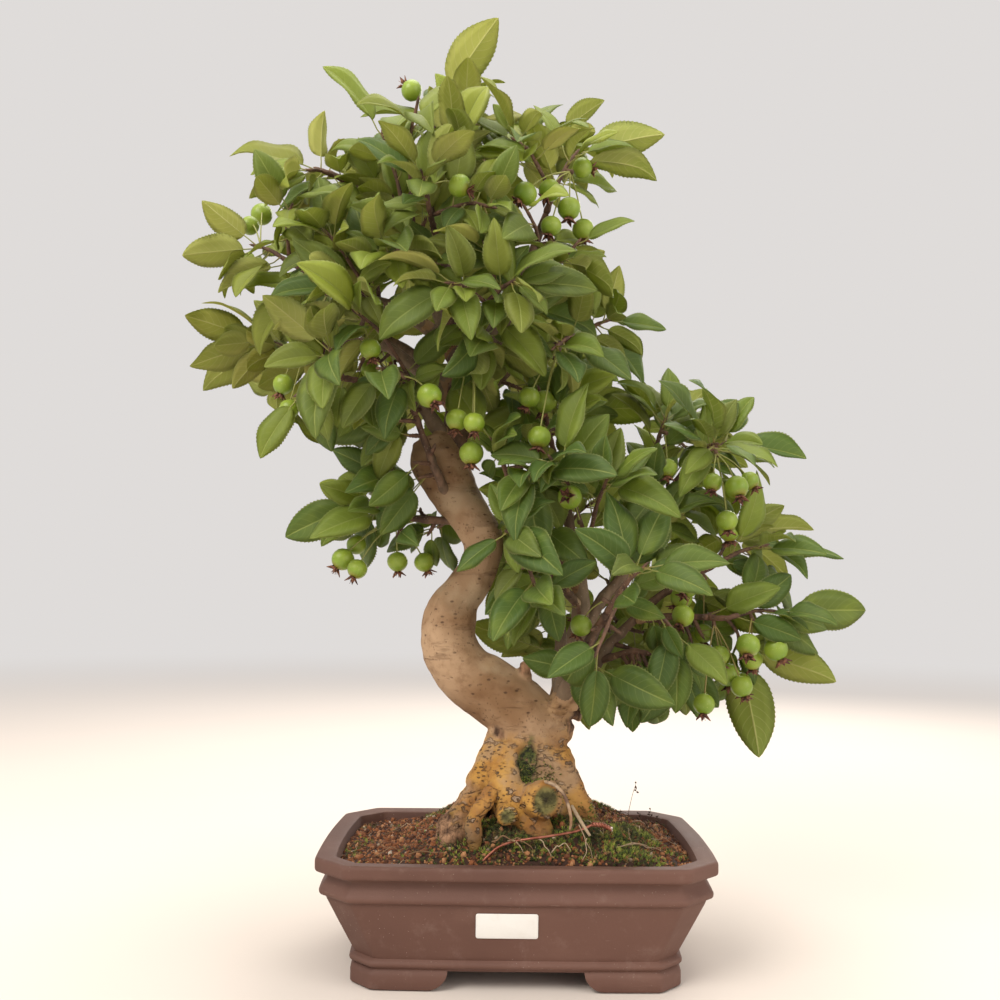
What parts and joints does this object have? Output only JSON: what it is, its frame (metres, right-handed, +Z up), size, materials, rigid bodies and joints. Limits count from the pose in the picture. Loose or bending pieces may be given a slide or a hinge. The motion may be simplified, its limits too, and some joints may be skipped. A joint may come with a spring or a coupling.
{
  "type": "potted crabapple bonsai",
  "caption": "Informal upright hall crabapple bonsai with spreading roots, leafy shoots and small green apples, standing in a rectangular footed clay pot.",
  "frame": {"origin": "on the ground, at the middle of the plan of the whole object, under the pot", "axes": "+Z up; the tree's front faces -Y; +X to the right as seen from the front"},
  "size_m": [0.4932, 0.2765, 0.6762],
  "materials": {
    "bark": "smooth grey-brown bark, flaking ochre at the roots",
    "clay": "matte unglazed purple-brown clay",
    "soil": "granular damp soil with moss",
    "copper": "copper-coloured tie wire",
    "paper": "plain white label",
    "leaf": "green leaves on reddish-green stalks",
    "apple": "smooth unripe yellow-green skin"
  },
  "bodies": {
    "root": {"wood": "bark", "pot": "clay", "soil": "soil", "tie_wire": "copper", "label": "paper", "spray_01": "leaf", "spray_02": "leaf", "spray_03": "leaf", "spray_04": "leaf", "spray_05": "leaf", "spray_06": "leaf", "spray_07": "leaf", "spray_08": "leaf", "spray_09": "leaf", "spray_10": "leaf", "spray_11": "leaf", "spray_12": "leaf", "spray_13": "leaf", "spray_14": "leaf", "spray_15": "leaf", "spray_16": "leaf", "spray_17": "leaf", "spray_18": "leaf", "spray_19": "leaf", "spray_20": "leaf", "spray_21": "leaf", "spray_22": "leaf", "spray_23": "leaf", "spray_24": "leaf", "spray_25": "leaf", "spray_26": "leaf", "spray_27": "leaf", "spray_28": "leaf", "spray_29": "leaf", "spray_30": "leaf", "spray_31": "leaf", "spray_32": "leaf", "spray_33": "leaf", "spray_34": "leaf", "spray_35": "leaf", "fruit_01": "apple", "fruit_02": "apple", "fruit_03": "apple", "fruit_04": "apple", "fruit_05": "apple", "fruit_06": "apple", "fruit_07": "apple", "fruit_08": "apple", "fruit_09": "apple", "fruit_10": "apple", "fruit_11": "apple", "fruit_12": "apple", "fruit_13": "apple", "fruit_14": "apple", "fruit_15": "apple", "fruit_16": "apple", "fruit_17": "apple", "fruit_18": "apple", "fruit_19": "apple"}
  },
  "joints": []
}
